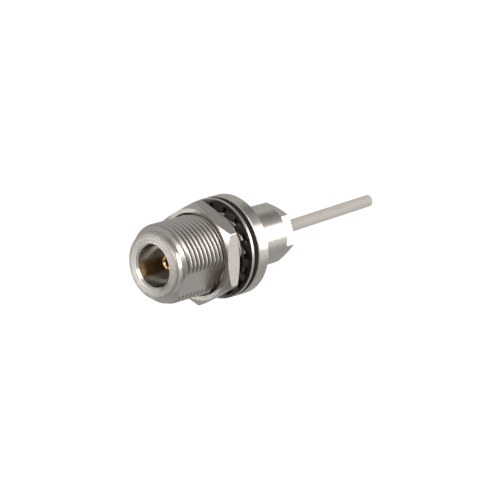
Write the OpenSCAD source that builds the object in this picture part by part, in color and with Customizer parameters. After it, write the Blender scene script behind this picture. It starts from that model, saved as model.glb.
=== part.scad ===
// Bulkhead coaxial jack with a threaded coupling, a panel nut and a clamped cable stub.
// The axis lies along Y: the mating end points to -Y and the cable leaves to +Y. The origin is
// on the axis, at the flange face that bears on the panel gasket. Lengths are millimetres.

/* [Coupling end] */
// Major diameter of the coupling thread, 5/8-24
thread_d = 15.875; // [15.4:0.005:16.4]
// Distance from the flange face to the front of the lip
neck_len = 19.2; // [18:0.1:24]
// Diameter of the plain lip in front of the thread
lip_d = 13.45; // [12.4:0.05:14.2]
// Length of the plain lip
lip_len = 1.5; // [1:0.1:2.5]
// Length of the cone from the lip up to the thread
lead_in_len = 0.77; // [0.4:0.01:1.5]
// Radius of the rounded front edge of the lip
lip_edge_r = 0.36; // [0.1:0.02:0.6]
// Distance from the axis to the flat milled along the neck
flat_reach = 6.8; // [6.75:0.01:7.6]
// Direction of that flat, from +X towards +Z
flat_turn = -27; // [-180:1:180]

/* [Socket] */
// Bore that takes the mating outer contact
socket_d = 8.4; // [8:0.05:8.8]
// Depth of the socket from the lip's face to the reference plane
socket_depth = 9.1; // [8.8:0.05:9.6]
// Width of the chamfer round the socket's mouth
mouth_chamfer = 0.4; // [0.1:0.05:0.6]
// Inner diameter of the outer conductor behind the reference plane
line_d = 7; // [6.4:0.05:7.4]
// Length of that air-filled line
line_len = 5.6; // [4:0.1:7]

/* [Flange and barrel] */
// Width of the flange's front face outside the thread
flange_ledge = 2.1625; // [1.8:0.0025:4]
// Thickness of the flange
flange_t = 2.8; // [2:0.1:4]
// Chamfer on the flange's edges
flange_chamfer = 0.18; // [0.05:0.01:0.4]
// Diameter of the rear barrel
barrel_d = 12.1; // [11.8:0.1:14]
// Length of the rear barrel behind the flange
barrel_len = 9.9; // [9.5:0.1:14]
// Chamfer on the barrel's rear edge
barrel_chamfer = 0.12; // [0.05:0.01:0.3]

/* [Panel hardware] */
// Metal between the thread and each flat of the panel nut, for 23/32 inch across the flats
panel_nut_wall = 1.1925; // [0.9:0.0025:3]
// Thickness of the panel nut, 1/8 inch
panel_nut_t = 3.175; // [2.5:0.005:5]
// Distance between the panel nut and the lock washer's rim
panel_nut_gap = 2.6; // [1.2:0.1:5]
// Direction of one flat of the panel nut, from +X towards +Z
panel_nut_turn = 2; // [-30:1:30]
// Width of the bevel round each end of the panel nut's hole
nut_bevel = 0.35; // [0.1:0.05:0.6]
// Step from the flange's rim in to the lock washer's rim
washer_step = 0.025; // [0:0.005:0.5]
// Thickness of the lock washer's sheet
washer_t = 0.6; // [0.4:0.05:1]
// Radial width of the lock washer's rim
washer_rim = 0.85; // [0.6:0.05:1.5]
// Number of teeth inside the lock washer
tooth_count = 16; // [8:1:20]
// Share of each tooth's pitch that is metal
tooth_share = 0.6; // [0.4:0.05:0.75]
// Twist of each tooth out of the sheet
tooth_twist = 22; // [0:1:35]
// Depth to which each tooth's root runs into the rim
tooth_bite = 0.15; // [0.1:0.05:0.4]
// Direction of one tooth of the lock washer, from +X towards +Z
washer_turn = 15; // [-30:1:30]
// Thickness of the panel gasket
gasket_t = 1.32; // [0.8:0.02:2]
// Step from the flange's rim in to the panel gasket's rim
gasket_step = 0.1; // [0:0.05:0.8]

/* [Centre contact] */
// Outer diameter of the centre contact
contact_d = 3.04; // [2.9:0.01:3.2]
// Bore that takes the mating pin
contact_bore_d = 1.65; // [1.6:0.01:1.8]
// Depth of that bore
contact_bore_len = 6; // [4:0.1:8]
// Distance the contact stands in front of the reference plane
contact_reach = 5.05; // [4.75:0.01:5.25]
// Number of slots that part the contact's fingers
slot_count = 4; // [2:2:6]
// Width of each slot
slot_w = 0.22; // [0.15:0.01:0.3]
// Length of each slot
slot_len = 4.6; // [3:0.1:6]
// Radius of the rounded outer edge of the fingers' tips
finger_tip_r = 0.3; // [0.1:0.05:0.5]
// Width of the chamfer round the contact's mouth
finger_mouth = 0.2; // [0.1:0.05:0.3]
// Diameter of the collar that holds the contact between the insulators
collar_d = 3.9; // [3.5:0.05:5]
// Thickness of that collar
collar_t = 0.8; // [0.5:0.05:1]
// Diameter of the solder cup behind the collar
cup_d = 1.9; // [1.4:0.05:2.6]
// Depth of the solder cup's bore
cup_depth = 1.6; // [1:0.1:1.9]
// Diameter of the solder cup's vent
vent_d = 0.5; // [0.3:0.05:0.8]

/* [Insulators] */
// Diameter of both insulators
insulator_d = 8.6; // [8.2:0.05:9]
// Length of the front insulator
front_insulator_len = 5; // [4:0.1:5.5]
// Length of the rear insulator
rear_insulator_len = 2.8; // [2.5:0.1:4]

/* [Cable clamp] */
// Major diameter of the clamp nut's thread
clamp_thread_d = 10; // [9.6:0.05:10.4]
// Length of the clamp nut's thread
clamp_thread_len = 3.7; // [3:0.1:4.5]
// Size of the clamp nut across its flats
clamp_af = 10.5; // [9.8:0.05:12]
// Length of the clamp nut's hexagon
clamp_head_len = 2.4; // [2:0.1:4]
// Direction of one flat of the clamp nut, from +X towards +Z
clamp_nut_turn = 16; // [-30:1:30]
// Distance from the rear insulator back to the clamp's seat
seat_setback = 0.3; // [0.1:0.05:0.6]
// Length of the braid clamp
braid_clamp_len = 2.4; // [1.6:0.1:2.8]
// Depth of the jacket's seat in the braid clamp
jacket_seat_depth = 0.8; // [0.4:0.1:1.4]
// Chamfer on the front edges of the clamp nut and the braid clamp
clamp_edge = 0.3; // [0.1:0.05:0.5]
// Thickness of the clamp washer
clamp_washer_t = 0.55; // [0.4:0.05:0.8]
// Depth of the groove in the sealing ring
seal_groove = 0.6; // [0.2:0.05:0.8]

/* [Cable] */
// Outer diameter of the cable's jacket
jacket_d = 2.45; // [2.2:0.05:2.6]
// Outer diameter of the braid
braid_d = 1.96; // [1.8:0.02:2.0]
// Outer diameter of the dielectric
dielectric_d = 1.52; // [1.4:0.02:1.6]
// Diameter of the centre conductor
conductor_d = 0.51; // [0.3:0.01:0.6]
// Length of cable beyond the clamp nut
cable_reach = 29.2; // [12:0.1:80]
// Angle at which the cable rises from the clamp nut, towards +Z
cable_rise = 1.4; // [0:0.1:2]

/* [Fits] */
// Radial clearance of each nut on or in its thread
thread_clearance = 0.05; // [0.02:0.01:0.09]
// Radial clearance of the jacket in the clamp nut and its washer
cable_clearance = 0.12; // [0.05:0.01:0.4]
// Gap between pieces that rest on one another
seat_gap = 0.03; // [0.01:0.01:0.05]
// Radial gap between the cable's layers
layer_gap = 0.01; // [0.005:0.005:0.02]

/* [Hidden] */
$fn = 96;
arc_steps = 4;
cable_sides = 24;
overrun = 1;
chamfer_slope = tan(30);

lip_front = -neck_len;
thread_front = lip_front + lip_len + lead_in_len;
reference_plane = lip_front + socket_depth;
insulator_front = reference_plane + line_len;
insulator_joint = insulator_front + front_insulator_len;
insulator_rear = insulator_joint + rear_insulator_len;
barrel_rear = flange_t + barrel_len;

flange_d = thread_d + 2 * flange_ledge;
neck_bore_d = thread_d + 2 * thread_clearance;
panel_nut_af = thread_d + 2 * panel_nut_wall;
gasket_d = flange_d - 2 * gasket_step;
washer_d = flange_d - 2 * washer_step;
washer_rear = -gasket_t - seat_gap;
panel_nut_rear = washer_rear - washer_t - panel_nut_gap;

clamp_bore_d = clamp_thread_d + 2 * thread_clearance;
braid_fold_t = (braid_d - dielectric_d) / 2 - layer_gap;
clamp_seat = insulator_rear + seat_setback;
braid_clamp_front = clamp_seat + braid_fold_t;
braid_clamp_rear = braid_clamp_front + braid_clamp_len;
clamp_nut_front = barrel_rear + seat_gap - clamp_thread_len;
clamp_washer_front = clamp_nut_front - seat_gap - clamp_washer_t;
cable_passage_d = jacket_d + 2 * cable_clearance;
jacket_front = braid_clamp_rear - jacket_seat_depth;
cable_exit = barrel_rear + seat_gap + clamp_head_len;

plating = [0.76, 0.73, 0.69];
gold = [0.83, 0.62, 0.3];
ptfe = [0.93, 0.93, 0.9];
dark_rubber = [0.2, 0.15, 0.14];

// Points of an arc about a centre, from one angle to another
function arc(centre, r, from, to) =
    [for (i = [0:arc_steps]) let (a = from + (to - from) * i / arc_steps)
        centre + r * [cos(a), sin(a)]];

// Turns a profile of [radius, distance along the axis] about the Y axis
module turned(profile) {
    rotate([-90, 0, 0]) rotate_extrude() polygon(profile);
}

// A plain ring or tube between two places on the axis
module ring(outer_d, inner_d, from, to) {
    turned([[inner_d / 2, from], [outer_d / 2, from], [outer_d / 2, to], [inner_d / 2, to]]);
}

// Turns what is drawn on +X about the axis, from +X towards +Z
module facing(angle) {
    rotate([0, -angle, 0]) children();
}

// A hexagonal bar with one flat facing +X
module hexagon_bar(across_flats, from, to) {
    translate([0, from, 0]) rotate([-90, 0, 0]) rotate(30)
        cylinder(d = across_flats / cos(30), h = to - from, $fn = 6);
}

module shell() {
    edge_centre = [lip_d / 2 - lip_edge_r, lip_front + lip_edge_r];
    profile = concat(
        [[socket_d / 2, reference_plane],
         [socket_d / 2, lip_front + mouth_chamfer],
         [socket_d / 2 + mouth_chamfer, lip_front]],
        arc(edge_centre, lip_edge_r, -90, 0),
        [[lip_d / 2, lip_front + lip_len],
         [thread_d / 2, thread_front],
         [thread_d / 2, 0],
         [flange_d / 2 - flange_chamfer, 0],
         [flange_d / 2, flange_chamfer],
         [flange_d / 2, flange_t - flange_chamfer],
         [flange_d / 2 - flange_chamfer, flange_t],
         [barrel_d / 2, flange_t],
         [barrel_d / 2, barrel_rear - barrel_chamfer],
         [barrel_d / 2 - barrel_chamfer, barrel_rear],
         [clamp_bore_d / 2, barrel_rear],
         [clamp_bore_d / 2, clamp_seat],
         [insulator_d / 2, clamp_seat],
         [insulator_d / 2, insulator_front],
         [line_d / 2, insulator_front],
         [line_d / 2, reference_plane]]);
    color(plating) difference() {
        turned(profile);
        facing(flat_turn)
            translate([flat_reach, lip_front - overrun, -thread_d / 2])
            cube([thread_d, neck_len + overrun, thread_d]);
    }
}

module panel_gasket() {
    rim_r = gasket_t / 4;
    color(dark_rubber) turned(concat(
        [[neck_bore_d / 2, 0], [neck_bore_d / 2, -gasket_t]],
        arc([gasket_d / 2 - rim_r, rim_r - gasket_t], rim_r, -90, 0),
        arc([gasket_d / 2 - rim_r, -rim_r], rim_r, 0, 90)));
}

// One tooth of the lock washer on +X: a twisted blade from inside the bore out into the rim
module washer_tooth() {
    root_r = washer_d / 2 - washer_rim;
    tip_r = neck_bore_d / 2 - overrun;
    root_w = tooth_share * 2 * PI * root_r / tooth_count;
    lean = sin(tooth_twist) * root_w / 2;
    translate([tip_r, washer_rear - washer_t / 2 - lean, 0])
        rotate([tooth_twist, 0, 0])
        translate([0, -washer_t / 2, -root_w / 2])
        cube([root_r - tip_r + tooth_bite, washer_t, root_w]);
}

module lock_washer() {
    color(plating) difference() {
        union() {
            ring(washer_d, washer_d - 2 * washer_rim, washer_rear - washer_t, washer_rear);
            for (i = [0:tooth_count - 1])
                facing(washer_turn + i * 360 / tooth_count) washer_tooth();
        }
        ring(neck_bore_d, 0, lip_front, flange_t);
    }
}

module panel_nut() {
    front = panel_nut_rear - panel_nut_t;
    corner = panel_nut_af / cos(30) / 2;
    face_r = panel_nut_af / 2;
    fall = (corner - face_r) * chamfer_slope;
    color(plating) difference() {
        intersection() {
            facing(panel_nut_turn) hexagon_bar(panel_nut_af, front, panel_nut_rear);
            turned([[0, front], [face_r, front], [corner, front + fall],
                    [corner, panel_nut_rear - fall], [face_r, panel_nut_rear],
                    [0, panel_nut_rear]]);
        }
        turned([[0, front - overrun],
                [neck_bore_d / 2 + nut_bevel + overrun, front - overrun],
                [neck_bore_d / 2, front + nut_bevel],
                [neck_bore_d / 2, panel_nut_rear - nut_bevel],
                [neck_bore_d / 2 + nut_bevel + overrun, panel_nut_rear + overrun],
                [0, panel_nut_rear + overrun]]);
    }
}

module front_insulator() {
    color(ptfe) ring(insulator_d - 2 * seat_gap, contact_d + 2 * seat_gap,
                     insulator_front, insulator_joint);
}

module rear_insulator() {
    recess_r = collar_d / 2 + seat_gap;
    stem_r = cup_d / 2 + seat_gap;
    outer_r = insulator_d / 2 - seat_gap;
    collar_rear = insulator_joint + collar_t;
    color(ptfe) turned([[recess_r, insulator_joint], [outer_r, insulator_joint],
                        [outer_r, insulator_rear], [stem_r, insulator_rear],
                        [stem_r, collar_rear], [recess_r, collar_rear]]);
}

module centre_contact() {
    tip = reference_plane - contact_reach;
    collar_rear = insulator_joint + collar_t;
    cup_floor = insulator_rear - cup_depth;
    cup_bore_r = conductor_d / 2 + 2 * seat_gap;
    color(gold) difference() {
        turned(concat(
            [[0, tip + contact_bore_len], [contact_bore_d / 2, tip + contact_bore_len],
             [contact_bore_d / 2, tip + finger_mouth], [contact_bore_d / 2 + finger_mouth, tip]],
            arc([contact_d / 2 - finger_tip_r, tip + finger_tip_r], finger_tip_r, -90, 0),
            [[contact_d / 2, insulator_joint], [collar_d / 2, insulator_joint],
             [collar_d / 2, collar_rear], [cup_d / 2, collar_rear],
             [cup_d / 2, insulator_rear], [cup_bore_r, insulator_rear],
             [cup_bore_r, cup_floor], [0, cup_floor]]));
        for (i = [0:slot_count / 2 - 1])
            facing(i * 360 / slot_count)
                translate([-contact_d, tip - overrun, -slot_w / 2])
                cube([2 * contact_d, slot_len + overrun, slot_w]);
        translate([0, collar_rear + vent_d, 0]) cylinder(d = vent_d, h = cup_d);
    }
}

module braid_clamp() {
    outer_r = clamp_thread_d / 2;
    bore_r = braid_d / 2 + seat_gap;
    cup_r = jacket_d / 2 + seat_gap;
    color(plating) turned([[bore_r, braid_clamp_front], [outer_r - clamp_edge, braid_clamp_front],
                           [outer_r, braid_clamp_front + clamp_edge], [outer_r, braid_clamp_rear],
                           [cup_r, braid_clamp_rear], [cup_r, jacket_front - seat_gap],
                           [bore_r, jacket_front - seat_gap]]);
}

module clamp_gasket() {
    outer_r = clamp_thread_d / 2;
    inner_r = jacket_d / 2 + seat_gap;
    groove_r = (outer_r + inner_r) / 2;
    front = braid_clamp_rear + seat_gap;
    rear = clamp_washer_front - seat_gap;
    color(dark_rubber) turned([[inner_r, front], [outer_r, front], [outer_r, rear],
                               [groove_r + seal_groove, rear], [groove_r, rear - seal_groove],
                               [groove_r - seal_groove, rear], [inner_r, rear]]);
}

module clamp_washer() {
    color(plating) ring(clamp_thread_d, cable_passage_d,
                        clamp_washer_front, clamp_washer_front + clamp_washer_t);
}

module clamp_nut() {
    head_front = barrel_rear + seat_gap;
    head_rear = head_front + clamp_head_len;
    corner = clamp_af / cos(30) / 2;
    face_r = clamp_af / 2;
    fall = (corner - face_r) * chamfer_slope;
    color(plating) difference() {
        union() {
            turned([[0, clamp_nut_front], [clamp_thread_d / 2 - clamp_edge, clamp_nut_front],
                    [clamp_thread_d / 2, clamp_nut_front + clamp_edge],
                    [clamp_thread_d / 2, head_front + clamp_edge], [0, head_front + clamp_edge]]);
            intersection() {
                facing(clamp_nut_turn) hexagon_bar(clamp_af, head_front, head_rear);
                turned([[0, head_front], [corner, head_front], [corner, head_rear - fall],
                        [face_r, head_rear], [0, head_rear]]);
            }
        }
        ring(cable_passage_d, 0, clamp_nut_front - overrun, head_rear + overrun);
    }
}

// A round bar along the cable's route, from a place on the axis to a length past the clamp nut
module cable_bar(d, from, reach) {
    route = [[from, 0], [cable_exit, 0],
             [cable_exit + reach * cos(cable_rise), reach * sin(cable_rise)]];
    last = len(route) - 1;
    points = [for (stop = route, i = [0:cable_sides - 1]) let (a = i * 360 / cable_sides)
        [d / 2 * cos(a), stop[0], stop[1] + d / 2 * sin(a)]];
    sides = [for (k = [0:last - 1], i = [0:cable_sides - 1])
        let (a = k * cable_sides + i, b = k * cable_sides + (i + 1) % cable_sides)
        [a, b, b + cable_sides, a + cable_sides]];
    front_cap = [for (i = [cable_sides - 1:-1:0]) i];
    rear_cap = [for (i = [0:cable_sides - 1]) last * cable_sides + i];
    polyhedron(points, concat(sides, [front_cap, rear_cap]));
}

// One layer of the cable, a tube that follows the route
module cable_layer(outer_d, inner_d, from) {
    difference() {
        cable_bar(outer_d, from, cable_reach);
        cable_bar(inner_d, from - overrun, cable_reach + overrun);
    }
}

module cable_jacket() {
    color([0.7, 0.68, 0.65]) cable_layer(jacket_d, braid_d + 2 * layer_gap, jacket_front);
}

// The braid's cut front end is folded out flat between the seat and the braid clamp
module cable_braid() {
    inner_r = dielectric_d / 2 + layer_gap;
    fold_r = insulator_d / 2;
    fold_rear = clamp_seat + braid_fold_t - layer_gap;
    color([0.75, 0.75, 0.73]) {
        ring(2 * fold_r, 2 * inner_r, clamp_seat, fold_rear);
        cable_layer(braid_d, 2 * inner_r, clamp_seat);
    }
}

module cable_dielectric() {
    color(ptfe) cable_layer(dielectric_d, conductor_d + 2 * layer_gap,
                            insulator_rear + seat_gap);
}

module cable_conductor() {
    color([0.78, 0.78, 0.76])
        cable_bar(conductor_d, insulator_rear - cup_depth + seat_gap, cable_reach);
}

shell();
panel_gasket();
lock_washer();
panel_nut();
front_insulator();
rear_insulator();
centre_contact();
braid_clamp();
clamp_gasket();
clamp_washer();
clamp_nut();
cable_jacket();
cable_braid();
cable_dielectric();
cable_conductor();
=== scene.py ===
"""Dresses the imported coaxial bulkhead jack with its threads, metal finishes and cable."""
import math

import bmesh
import bpy
import numpy as np
from mathutils import Matrix


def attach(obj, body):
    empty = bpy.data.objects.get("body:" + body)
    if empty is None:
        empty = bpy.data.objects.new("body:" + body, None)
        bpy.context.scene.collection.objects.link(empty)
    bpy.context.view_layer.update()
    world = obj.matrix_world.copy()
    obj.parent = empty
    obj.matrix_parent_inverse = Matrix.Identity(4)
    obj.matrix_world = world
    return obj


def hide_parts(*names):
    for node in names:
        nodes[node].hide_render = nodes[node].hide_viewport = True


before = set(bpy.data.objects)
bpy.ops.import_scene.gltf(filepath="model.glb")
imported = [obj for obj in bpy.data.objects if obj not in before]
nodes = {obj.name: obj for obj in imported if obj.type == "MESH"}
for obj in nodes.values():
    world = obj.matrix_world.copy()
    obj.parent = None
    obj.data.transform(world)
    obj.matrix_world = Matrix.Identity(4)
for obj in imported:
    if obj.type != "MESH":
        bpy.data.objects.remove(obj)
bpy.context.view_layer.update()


# ---- Camera ----
# A long lens half a metre from the jack. It looks into the mating end from one side and a
# little above, so the cable runs away from it.
azimuth, elevation, distance = math.radians(43.0086), math.radians(16.031), 0.5
sight = np.array([-math.sin(azimuth) * math.cos(elevation),
                  math.cos(azimuth) * math.cos(elevation), -math.sin(elevation)])
to_right = np.array([math.cos(azimuth), math.sin(azimuth), 0.0])
to_top = np.cross(to_right, sight)
camera = bpy.data.objects.new("camera", bpy.data.cameras.new("camera"))
camera.location = 0.0055783 * to_right - 0.0006781 * to_top - distance * sight
camera.rotation_euler = (math.pi / 2 - elevation, 0, azimuth)
camera.data.sensor_width = 36
camera.data.lens = 183.05
camera.data.clip_start = 0.01
bpy.context.scene.collection.objects.link(camera)
bpy.context.scene.camera = camera


# ---- Cable ----
# Thin coaxial cable with an extruded fluoropolymer jacket, a silver-plated braid and a plated
# wire in its middle. It leaves the clamp nut, rises a little and ends in a square cut.
def surface(name, grid, sharp=20, close_rows=True):
    """Makes an object from a grid of points, in rows of equal length. The last column lies on
    the first, and so does the row after the last if close_rows is set. Points that coincide
    are merged, so a row may shrink to less than the others without leaving a hole."""
    rows, columns = grid.shape[:2]
    index = np.arange(rows * columns).reshape(rows, columns)
    if close_rows:
        index = np.vstack([index, index[:1]])
    faces = np.stack([index[:-1, :-1], index[:-1, 1:], index[1:, 1:], index[1:, :-1]], -1)
    mesh = bpy.data.meshes.new(name)
    mesh.vertices.add(rows * columns)
    mesh.vertices.foreach_set("co", grid.astype(np.float32).ravel())
    mesh.loops.add(faces.size)
    mesh.loops.foreach_set("vertex_index", faces.astype(np.int32).ravel())
    mesh.polygons.add(faces.size // 4)
    mesh.polygons.foreach_set("loop_start", np.arange(0, faces.size, 4, dtype=np.int32))
    mesh.update(calc_edges=True)
    work = bmesh.new()
    work.from_mesh(mesh)
    bmesh.ops.remove_doubles(work, verts=work.verts, dist=1e-6)
    bmesh.ops.dissolve_degenerate(work, edges=work.edges, dist=1e-7)
    bmesh.ops.recalc_face_normals(work, faces=work.faces)
    work.to_mesh(mesh)
    work.free()
    mesh.polygons.foreach_set("use_smooth", np.ones(len(mesh.polygons), dtype=bool))
    mesh.set_sharp_from_angle(angle=math.radians(sharp))
    made = bpy.data.objects.new(name, mesh)
    bpy.context.scene.collection.objects.link(made)
    return made


class Wire:
    """A value that runs from one node's socket to others. Arithmetic on it adds Math nodes."""

    def __init__(self, socket):
        self.socket = socket

    def node(self, kind, settings=None, inputs=None, output=0):
        """Adds a node of that kind, sets it, then gives its sockets values or wires."""
        tree = self.socket.id_data
        made = tree.nodes.new("ShaderNode" + kind)
        for name, value in (settings or {}).items():
            setattr(made, name, value)
        for name, value in (inputs or {}).items():
            if isinstance(value, Wire):
                tree.links.new(value.socket, made.inputs[name])
            else:
                made.inputs[name].default_value = value
        return Wire(made.outputs[output])

    def out(self, name):
        """Another output of the node that this value comes from."""
        return Wire(self.socket.node.outputs[name])

    def into(self, shader, name):
        """Gives a socket of the shader this value."""
        self.socket.id_data.links.new(self.socket, shader.inputs[name])

    def parts(self):
        """The X, Y and Z of a vector."""
        split = self.node("SeparateXYZ", inputs={0: self})
        return split, split.out("Y"), split.out("Z")

    def math(self, operation, *values):
        """A Math node with that operation on those values."""
        return self.node("Math", {"operation": operation}, dict(enumerate(values)))

    def __add__(self, other):
        return self.math("ADD", self, other)

    def __sub__(self, other):
        return self.math("SUBTRACT", self, other)

    def __rsub__(self, other):
        return self.math("SUBTRACT", other, self)

    def __mul__(self, other):
        return self.math("MULTIPLY", self, other)

    def __truediv__(self, other):
        return self.math("DIVIDE", self, other)

    def __pow__(self, other):
        return self.math("POWER", self, other)

    __radd__, __rmul__ = __add__, __mul__

    def noise(self, scale, detail=3.0, roughness=0.55, dimensions="3D"):
        return self.node("TexNoise", {"noise_dimensions": dimensions}, {
            "Vector": self, "Scale": scale, "Detail": detail, "Roughness": roughness})

    def between(self, first, second):
        """A colour that goes from the first to the second as this value goes from 0 to 1."""
        ends = [end if isinstance(end, Wire) else (*end, 1) for end in (first, second)]
        return self.node("Mix", {"data_type": "RGBA"}, {0: self, 6: ends[0], 7: ends[1]},
                         output=2)

    def clamped(self):
        """This value, held between 0 and 1."""
        return self.node("Clamp", inputs={"Value": self})

    def bump(self, height):
        """Normals for this value as a relief of that height in metres."""
        return self.node("Bump", inputs={"Strength": 1.0, "Distance": height, "Height": self})


def finish(name, constants):
    """A new material: its shader with those constants, and a wire at the Object coordinates."""
    material = bpy.data.materials.new(name)
    material.use_nodes = True
    shader = material.node_tree.nodes["Principled BSDF"]
    for socket, value in constants.items():
        shader.inputs[socket].default_value = value
    place = material.node_tree.nodes.new("ShaderNodeTexCoord").outputs["Object"]
    return material, shader, Wire(place)


def coat(node, material):
    """Gives a CAD node that keeps its shape this finish."""
    for seat in node.material_slots:
        seat.link = "OBJECT"
        seat.material = material


# The jacket leaves the die almost smooth. Handling leaves it a little dull and uneven.
jacket_finish, shader, place = finish("cable_jacket", {"IOR": 1.38, "Specular IOR Level": 0.35})
x, y, z = place.parts()
along = place.node("CombineXYZ", inputs={0: x * 900, 1: y * 90, 2: z * 900})
streaks = along.noise(1.0)
cloud = place.noise(260.0, 2.0)
(0.6 * streaks + 0.4 * cloud).between((0.40, 0.368, 0.325), (0.53, 0.495, 0.445)).into(
    shader, "Base Color")
(0.38 + 0.2 * cloud).into(shader, "Roughness")
(streaks + 0.5 * place.noise(9000.0)).bump(6e-6).into(shader, "Normal")

cable_exit, cable_end_reach, cable_rise = 0.01513, 0.0292, math.radians(1.4)
jacket_front, jacket_outer, jacket_inner = 0.00888, 0.001225, 0.00099
exit_place = np.array([0.0, cable_exit, 0.0])
climb = np.array([0.0, math.cos(cable_rise), math.sin(cable_rise)])
inside = np.linspace(jacket_front, cable_exit, 8)[:-1]
outside = np.linspace(0, cable_end_reach, 33)
route = np.vstack([np.stack([0 * inside, inside, 0 * inside], 1),
                   exit_place + outside[:, None] * climb])


def carried(route, radii, sides):
    """Rings of those radii about the route's points: each ring's points are the route's point
    plus the radius times the cosine and sine of an angle, along X and square to the route."""
    run = np.gradient(route, axis=0)
    run /= np.linalg.norm(run, axis=1)[:, None]
    side = np.cross(run, [1.0, 0.0, 0.0])
    turn = np.linspace(0, 2 * np.pi, sides + 1)
    ring = np.cos(turn)[:, None] * np.array([1.0, 0, 0]) + np.sin(turn)[:, None] * side[:, None]
    return route[:, None] + np.asarray(radii)[:, None, None] * ring


wave = 1 + 0.006 * np.sin(route[:, 1] * 900) * np.sin(route[:, 1] * 390)
wave[[0, -1]] = 0.985
outer_wall = carried(route, jacket_outer * wave, 48)
inner_wall = carried(route, np.full(len(route), jacket_inner), 48)[::-1]
jacket = surface("cable_jacket_tube", np.concatenate([outer_wall, inner_wall]))
jacket.data.materials.append(jacket_finish)
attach(jacket, "shell")
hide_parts("cable_jacket")

# The braid is woven of fine plated wires, which the cut leaves as a ring of bright points.
braid_finish, shader, place = finish("braid_wire", {"Metallic": 1.0})
x, y, z = place.parts()
turn = x.math("ARCTAN2", z, x)
weave = (turn * 16 + y * 9000).math("SINE", turn * 16 + y * 9000) * 0.5 \
    + (turn * 16 - y * 9000).math("SINE", turn * 16 - y * 9000) * 0.5
(0.5 + 0.5 * weave).between((0.35, 0.33, 0.31), (0.86, 0.84, 0.80)).into(shader, "Base Color")
(0.32 + 0.1 * place.noise(4000.0)).into(shader, "Roughness")
(weave + place.noise(16000.0)).bump(1.5e-5).into(shader, "Normal")
coat(nodes["cable_braid"], braid_finish)

# The dielectric and both insulators are white fluoropolymer, waxy and slightly translucent.
ptfe_finish, shader, place = finish("ptfe", {
    "IOR": 1.36, "Subsurface Weight": 0.15, "Subsurface Scale": 0.0006,
    "Subsurface Radius": (1.0, 0.9, 0.8)})
x, y, z = place.parts()
radius = (x * x + z * z) ** 0.5
rings = place.node("CombineXYZ", inputs={0: y * 5000, 1: radius * 5000, 2: 0.0})
cut = rings.noise(1.0, 2.0, dimensions="2D")
cut.between((0.80, 0.79, 0.76), (0.90, 0.895, 0.87)).into(shader, "Base Color")
(0.36 + 0.2 * cut).into(shader, "Roughness")
cut.bump(4e-6).into(shader, "Normal")
for name in ("cable_dielectric", "front_insulator", "rear_insulator"):
    coat(nodes[name], ptfe_finish)

# Bright drawn wire, with die lines along its length.
wire_finish, shader, place = finish("conductor_wire", {"Metallic": 1.0})
x, y, z = place.parts()
lines = place.node("CombineXYZ", inputs={0: x * 20000, 1: y * 300, 2: z * 20000}).noise(1.0)
lines.between((0.62, 0.60, 0.57), (0.88, 0.86, 0.82)).into(shader, "Base Color")
(0.2 + 0.15 * lines).into(shader, "Roughness")
lines.bump(3e-6).into(shader, "Normal")
coat(nodes["cable_conductor"], wire_finish)


# ---- Shell ----
# One bar of brass, turned, threaded and nickel plated: lip, 5/8-24 coupling thread with a flat
# milled along it, flange and barrel. The tool leaves fine rings on every turned face.
thread_r, pitch = 0.0079375, 0.0254 / 24
crest_at = -0.01593 + pitch / 2 + pitch * 40 / 360
lip_front, lip_rear, thread_front = -0.0192, -0.0177, -0.01693
lip_r, flat_reach, flat_turn = 0.006725, 0.0068, math.radians(-27)
# Painted shade in the neck's thread roots: below this radius the neck takes this nearly black
# colour
root_shade_r, root_shade_depth, root_shade_colour = 0.00785, 0.0006, (0.13, 0.115, 0.105)


def turned_metal(name, dark, bright, roughness, marks, bore_light=0.0):
    """Plated metal off a lathe. The marks are noise over the distance along the axis and the
    distance from it, so they run round the axis on cylinders and on end faces alike. Painted
    shade darkens the neck's thread roots, but not its flat. The last argument is how much
    brighter the inside of the bore is painted, a painted light for light reaching into the mouth."""
    material, shader, place = finish(name, {"Metallic": 1.0})
    x, y, z = place.parts()
    radius = (x * x + z * z) ** 0.5
    fine = place.node("CombineXYZ", inputs={0: y * 9000, 1: radius * 9000, 2: 0.0})
    broad = place.node("CombineXYZ", inputs={0: y * 2600, 1: radius * 2600, 2: 0.0})
    cuts = fine.noise(1.0, 3.0, dimensions="2D")
    bands = broad.noise(1.0, 2.0, dimensions="2D")
    stain = place.noise(420.0, 3.0)
    # Painted shade: the neck's thread roots are coloured nearly black, and the flat is left out
    low = 1 - ((radius + root_shade_depth - root_shade_r) / root_shade_depth).clamped()
    neck = y.math("LESS_THAN", y, -0.0001) * y.math("GREATER_THAN", y, thread_front) \
        * radius.math("GREATER_THAN", radius, 0.0065)
    above = x * math.cos(flat_turn) + z * math.sin(flat_turn)
    root_shade_mask = low * neck * above.math("LESS_THAN", above, flat_reach - 0.00002)
    outside = radius.math("GREATER_THAN", radius, 0.0047)
    plate = (0.5 * stain + 0.5 * bands).between(dark, bright)
    # Painted light: inside the bore the plating is brightened towards white, for light reaching
    # into the mouth
    plate_with_bore_light = (bore_light * (1 - outside)).between(plate, (1.0, 0.97, 0.93))
    (0.9 * root_shade_mask).between(plate_with_bore_light, root_shade_colour).into(shader, "Base Color")
    ((0.7 + 0.3 * outside) * (roughness - 0.16 + 0.05 * cuts + 0.17 * bands + 0.1 * stain)).into(
        shader, "Roughness")
    (cuts + 2.5 * bands).bump(marks).into(shader, "Normal")
    return material


# The inside of the bore is painted brighter, as painted light
nickel = turned_metal("nickel_plating", (0.62, 0.58, 0.53), (0.76, 0.71, 0.65), 0.24, 9e-6,
                      bore_light=0.55)

# Places from one crest to the next, in pitches, closer together where the vee turns
stations = np.array([0, 0.045, 0.08, 0.24, 0.40, 0.44, 0.5, 0.56, 0.60, 0.76, 0.92, 0.955])


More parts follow.
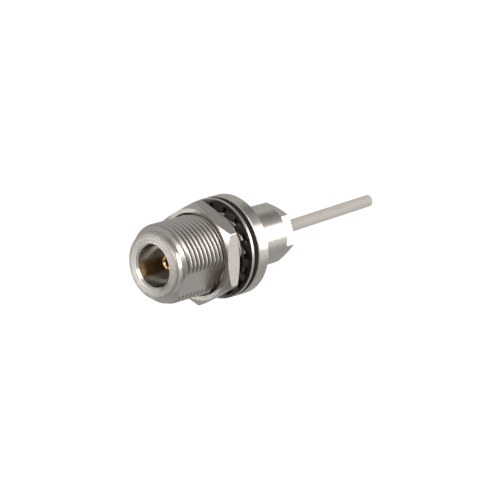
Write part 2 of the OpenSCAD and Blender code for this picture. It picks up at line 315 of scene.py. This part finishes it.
def vee(y, turn, crest, step, depth, at):
    """Radius of a right-hand thread: the crest's radius less the depth times how far down the
    flank a place is. The flank starts a sixteenth of a pitch from the middle of the crest and
    takes 0.354 pitch, and both its ends are eased by a smooth step."""
    off = np.abs((((y - at) / step + turn / (2 * np.pi)) + 0.5) % 1 - 0.5)
    down = np.clip((off - 0.0625) / 0.354, 0, 1)
    eased = down + 0.022 * np.exp(-((off - 0.0625) / 0.02) ** 2) \
        - 0.022 * np.exp(-((off - 0.4165) / 0.02) ** 2)
    return crest - depth * eased


def helix_rows(turn, step, at, first, last):
    """Places along the axis for rows that follow a thread, held between its two ends."""
    starts = np.arange(math.floor((first - at) / step) - 1, math.ceil((last - at) / step) + 2)
    line = (starts[:, None] + stations).ravel() * step + at
    return np.clip(line[:, None] - step * turn / (2 * np.pi), first, last)


def about_axis(radius, y, turn):
    """Points at those distances from the axis and along it, turned from +X towards +Z."""
    radius, y, turn = np.broadcast_arrays(radius, y, turn)
    return np.stack([radius * np.cos(turn), y, radius * np.sin(turn)], -1)


def turned_rows(profile, turn):
    """The profile's points of radius and place along the axis, each carried round the axis."""
    profile = np.asarray(profile, float)
    return about_axis(profile[:, :1], profile[:, 1:], turn)


def rounded(centre, radius, start, end, steps=8):
    """Points of an arc in the plane of radius and place along the axis, angles in degrees."""
    bend = np.radians(np.linspace(start, end, steps + 1))
    return [(centre[0] + radius * math.cos(a), centre[1] + radius * math.sin(a)) for a in bend]


crest_edge, root_edge = math.acos(flat_reach / thread_r), math.acos(flat_reach / 0.007288)
turn = np.unique(np.round(np.concatenate([
    np.radians(np.arange(0, 360)), flat_turn % (2 * np.pi) + np.radians(np.arange(-34, 34, 0.5)),
    flat_turn % (2 * np.pi) + np.array([-crest_edge, -root_edge, root_edge, crest_edge])])
    % (2 * np.pi), 6))
turn = np.append(turn, turn[0] + 2 * np.pi)

lip = [(0.0042, -0.0101), (0.0042, -0.0188), (0.0046, lip_front), (0.0052, lip_front + 0.00005),
       (0.0058, lip_front + 0.0001)] + rounded(
    (lip_r - 0.00036, lip_front + 0.0005), 0.00036, -85, 0)
along_neck = helix_rows(turn, pitch, crest_at, lip_rear, 0.0)
neck = vee(along_neck, turn, thread_r, pitch, 0.6134 * pitch, crest_at)
cone = lip_r + (along_neck - lip_rear) * (thread_r - lip_r) / (thread_front - lip_rear)
flat = flat_reach / np.maximum(np.cos(turn - flat_turn), 0.1)
neck = np.minimum(np.minimum(neck, np.maximum(cone, lip_r)), flat)
rear = [(0.00992, 0.0), (0.0101, 0.00018), (0.0101, 0.00262), (0.00992, 0.0028),
        (0.00605, 0.0028), (0.00605, 0.01258), (0.00593, 0.0127), (0.00505, 0.0127),
        (0.00505, 0.0066), (0.0043, 0.0066), (0.0043, -0.0045), (0.0035, -0.0045),
        (0.0035, -0.0101)]
shell = surface("shell_body", np.concatenate([
    turned_rows(lip, turn), about_axis(neck, along_neck, turn), turned_rows(rear, turn)]))
shell.data.materials.append(nickel)
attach(shell, "shell")
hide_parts("shell")


# ---- Panel nut ----
# A hexagon nut of plated brass that clamps the panel. Both faces are chamfered on a lathe, and
# its tapped hole is countersunk at each end and runs on the neck's thread.
def hexagon(across, turn, flat_at):
    """Distance from the axis to a hexagon whose corners are slightly eased: half the width
    across the flats over the 160th power mean of the cosines to its six flats."""
    off = turn[..., None] - flat_at - np.arange(6) * np.pi / 3
    return across / 2 / (np.maximum(np.cos(off), 0) ** 160).sum(-1) ** (1 / 160)


def chamfered(inner, outer, face, inwards, flats):
    """Rows of a lathe chamfer on a hexagon bar, out from the inner radius: each lies at the
    cone's own height, or where the flats end it. inwards is 1 or -1 along the axis."""
    radius = np.minimum(np.linspace(inner, outer, 7)[:, None], flats)
    return radius, face + inwards * (radius - inner) * math.tan(math.radians(30))


def hex_columns(flat_at, spacing=1.0):
    """Columns a degree apart with one on each corner, and more beside the corners."""
    corners = flat_at + np.radians(30 + 60 * np.arange(6))
    near = (corners[:, None] + np.radians([-2, -1.2, -0.6, -0.3, 0, 0.3, 0.6, 1.2, 2])).ravel()
    turn = np.concatenate([np.radians(np.arange(0, 360, spacing)), near]) % (2 * np.pi)
    turn = np.unique(np.round(turn, 6))
    return np.append(turn, turn[0] + 2 * np.pi)


nut_front, nut_rear, nut_across = -0.007725, -0.00455, 0.01826
flat_at = math.radians(2)
turn = hex_columns(flat_at)
flats = hexagon(nut_across, turn, flat_at)
face_r, corner_r = nut_across / 2, nut_across / 2 / math.cos(math.radians(30))
front_rows = about_axis(*chamfered(face_r, corner_r, nut_front, 1, flats), turn)
rear_rows = about_axis(*chamfered(face_r, corner_r, nut_rear, -1, flats), turn)[::-1]
hole_line = helix_rows(turn, pitch, crest_at, nut_front, nut_rear)[::-1]
hole = vee(hole_line, turn, thread_r + 0.00005, pitch, 0.6134 * pitch, crest_at)
countersink = 0.0083375 - np.minimum(hole_line - nut_front, nut_rear - hole_line)
hole = np.maximum(np.maximum(hole, 0.007365), countersink)
panel_nut = surface("panel_nut_body", np.concatenate([
    front_rows, rear_rows, about_axis(hole, hole_line, turn)]))
panel_nut.data.materials.append(nickel)
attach(panel_nut, "panel_nut")
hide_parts("panel_nut")


# ---- Lock washer ----
# Spring steel, stamped with sixteen inner teeth that are twisted out of the sheet, then
# hardened and plated. Its finish is duller than that of the turned parts, and inside the rim
# the teeth are painted almost black as painted shade behind the nut.
washer_finish, shader, place = finish("washer_plating", {"Metallic": 1.0})
x, y, z = place.parts()
unshaded_rim = (((x * x + z * z) ** 0.5 - 0.00985) / 0.00015).clamped()
stain = place.noise(700.0, 4.0)
grain = place.noise(12000.0, 3.0)
# Painted shade: inside the rim the teeth are coloured almost black for the shadow behind the nut,
# and only the rim keeps the bright plating
(0.2 * stain + 0.8 * unshaded_rim).between((0.10, 0.095, 0.09), (0.72, 0.66, 0.62)).into(
    shader, "Base Color")
(0.26 + 0.2 * grain).into(shader, "Roughness")
(grain + 2.0 * place.noise(2500.0)).bump(5e-6).into(shader, "Normal")
coat(nodes["lock_washer"], washer_finish)


# ---- Panel gasket and cable seal ----
# Moulded black rubber: a flat ring that seals the panel, and the grooved ring that the clamp
# nut squeezes on to the cable.
rubber_finish, shader, place = finish("gasket_rubber", {"IOR": 1.5, "Specular IOR Level": 0.15})
dust = place.noise(900.0, 4.0)
dust.between((0.010, 0.007, 0.007), (0.030, 0.021, 0.020)).into(shader, "Base Color")
(0.6 + 0.25 * dust).into(shader, "Roughness")
(place.noise(14000.0) + dust).bump(8e-6).into(shader, "Normal")
for name in ("panel_gasket", "clamp_gasket"):
    coat(nodes[name], rubber_finish)


# ---- Centre contact ----
# Beryllium copper, turned, bored, slotted into four fingers and plated with gold.
gold = turned_metal("gold_plating", (0.86, 0.52, 0.20), (0.96, 0.66, 0.30), 0.24, 1.5e-6)
coat(nodes["centre_contact"], gold)


# ---- Cable clamp ----
# The hollow nut screws into the barrel. It drives a washer, the sealing ring and the braid
# clamp forwards, and all of its pieces but the ring are plated brass.
clamp_front, head_front, head_rear, clamp_across = 0.00903, 0.01273, 0.01513, 0.0105
clamp_r, clamp_pitch, passage_r = 0.005, 0.00075, 0.001345
flat_at = math.radians(16)
turn = hex_columns(flat_at, 1.5)
flats = hexagon(clamp_across, turn, flat_at)
face_r, corner_r = clamp_across / 2, clamp_across / 2 / math.cos(math.radians(30))
screw_line = helix_rows(turn, clamp_pitch, 0.0, clamp_front, head_front)
screw = vee(screw_line, turn, clamp_r, clamp_pitch, 0.6134 * clamp_pitch, 0.0)
screw = np.minimum(screw, clamp_r - 0.0003 + screw_line - clamp_front)
head = about_axis(*chamfered(face_r, corner_r, head_rear, -1, flats), turn)[::-1]
clamp_nut = surface("clamp_nut_body", np.concatenate([
    turned_rows([(passage_r, clamp_front)], turn), about_axis(screw, screw_line, turn),
    about_axis(flats, head_front, turn)[None], head, turned_rows([(passage_r, head_rear)], turn)]))
clamp_nut.data.materials.append(nickel)
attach(clamp_nut, "clamp_nut")
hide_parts("clamp_nut")
for name in ("braid_clamp", "clamp_washer"):
    coat(nodes[name], nickel)


# ---- Studio ----
# A pale floor well below the jack, a large soft box behind it to the right, a second in front,
# and even light from a plain room. The metal shows the room's darker and lighter walls.
white = (1.0, 1.0, 1.0, 1.0)
floor = surface("floor", np.array([[(-3.0, -3.0, -0.045), (3.0, -3.0, -0.045)],
                                   [(-3.0, 3.0, -0.045), (3.0, 3.0, -0.045)]]),
                close_rows=False)
floor_finish = bpy.data.materials.new("floor_paper")
floor_finish.use_nodes = True
floor_finish.cycles.emission_sampling = "NONE"
tree = floor_finish.node_tree
tree.nodes.clear()
rays = Wire(tree.nodes.new("ShaderNodeLightPath").outputs["Is Camera Ray"])
seen = rays.math("MAXIMUM", rays, rays.out("Is Transmission Ray"))
paper = rays.node("BsdfDiffuse", inputs={"Color": (0.8, 0.8, 0.8, 1)})
glow = rays.node("Emission", inputs={"Color": white, "Strength": 0.9})
pale = rays.node("AddShader", inputs={0: glow, 1: rays.node(
    "BsdfDiffuse", inputs={"Color": (0.16, 0.16, 0.16, 1)})})
shown = rays.node("MixShader", inputs={0: seen, 1: paper, 2: pale})
shown.into(tree.nodes.new("ShaderNodeOutputMaterial"), "Surface")
floor.data.materials.append(floor_finish)
floor.visible_glossy = False


def soft_box(name, towards, away, wide, high, radiance):
    """A rectangular lamp that faces the jack from that direction, and looks that bright."""
    light = bpy.data.lights.new(name, "AREA")
    light.shape, light.size, light.size_y = "RECTANGLE", wide, high
    light.energy = 4 * wide * high * radiance
    lamp = bpy.data.objects.new(name, light)
    towards = np.array(towards) / np.linalg.norm(towards)
    across = np.cross([0.0, 0.0, 1.0], towards)
    across /= np.linalg.norm(across)
    up = np.cross(towards, across)
    lamp.matrix_world = Matrix(np.vstack([
        np.stack([across, up, towards, away * towards], 1), [0, 0, 0, 1]]).tolist())
    bpy.context.scene.collection.objects.link(lamp)


soft_box("key", (0.68, 0.70, 0.21), 1.5, 0.9, 0.9, 2.4)
soft_box("front", (0.14, -0.95, 0.27), 1.5, 0.5, 0.45, 2.2)
soft_box("side", (0.50, -0.70, 0.48), 1.5, 0.4, 1.2, 1.5)

world = bpy.data.worlds.new("room")
bpy.context.scene.world = world
world.use_nodes = True
tree = world.node_tree
sky = Wire(tree.nodes.new("ShaderNodeTexCoord").outputs["Generated"])
rays = Wire(tree.nodes.new("ShaderNodeLightPath").outputs["Is Camera Ray"])
seen = rays.math("MAXIMUM", rays, rays.out("Is Transmission Ray"))


def wall(towards, spread):
    """How near a direction is to this one: 1 on it, falling off over the spread."""
    towards = np.array(towards) / np.linalg.norm(towards)
    near = sky.node("VectorMath", {"operation": "DOT_PRODUCT"},
                    {0: sky, 1: tuple(towards)}, output="Value")
    return near.math("EXPONENT", (near - 1) / spread)


plain = 0.85
room = 0.42 + sum(level * wall(towards, spread) for level, towards, spread in (
    # A dark ceiling behind, a paler one to the left, and a pale wall low on the right
    (-0.27, (0.03, 0.70, 0.71), 0.03), (0.12, (-0.36, 0.70, 0.61), 0.015),
    (0.6, (0.67, 0.70, -0.25), 0.015),
    # A dark floor in front and a dark wall to the left
    (-0.25, (0.10, -0.80, -0.55), 0.1), (-0.24, (-0.655, -0.703, -0.276), 0.05),
    # Three small lamps on that wall, which the lip's turned face spreads into fans
    (4.2, (-0.743, -0.584, -0.327), 0.002), (2.2, (-0.552, -0.805, -0.217), 0.002),
    (2.4, (-0.671, -0.723, -0.165), 0.002)))
lit = rays.out("Is Glossy Ray") * (room - plain) + plain
strength = seen + (1 - seen) * lit
background = tree.nodes["Background"]
background.inputs["Color"].default_value = white
strength.into(background, "Strength")

bpy.context.scene.view_settings.view_transform = "Standard"
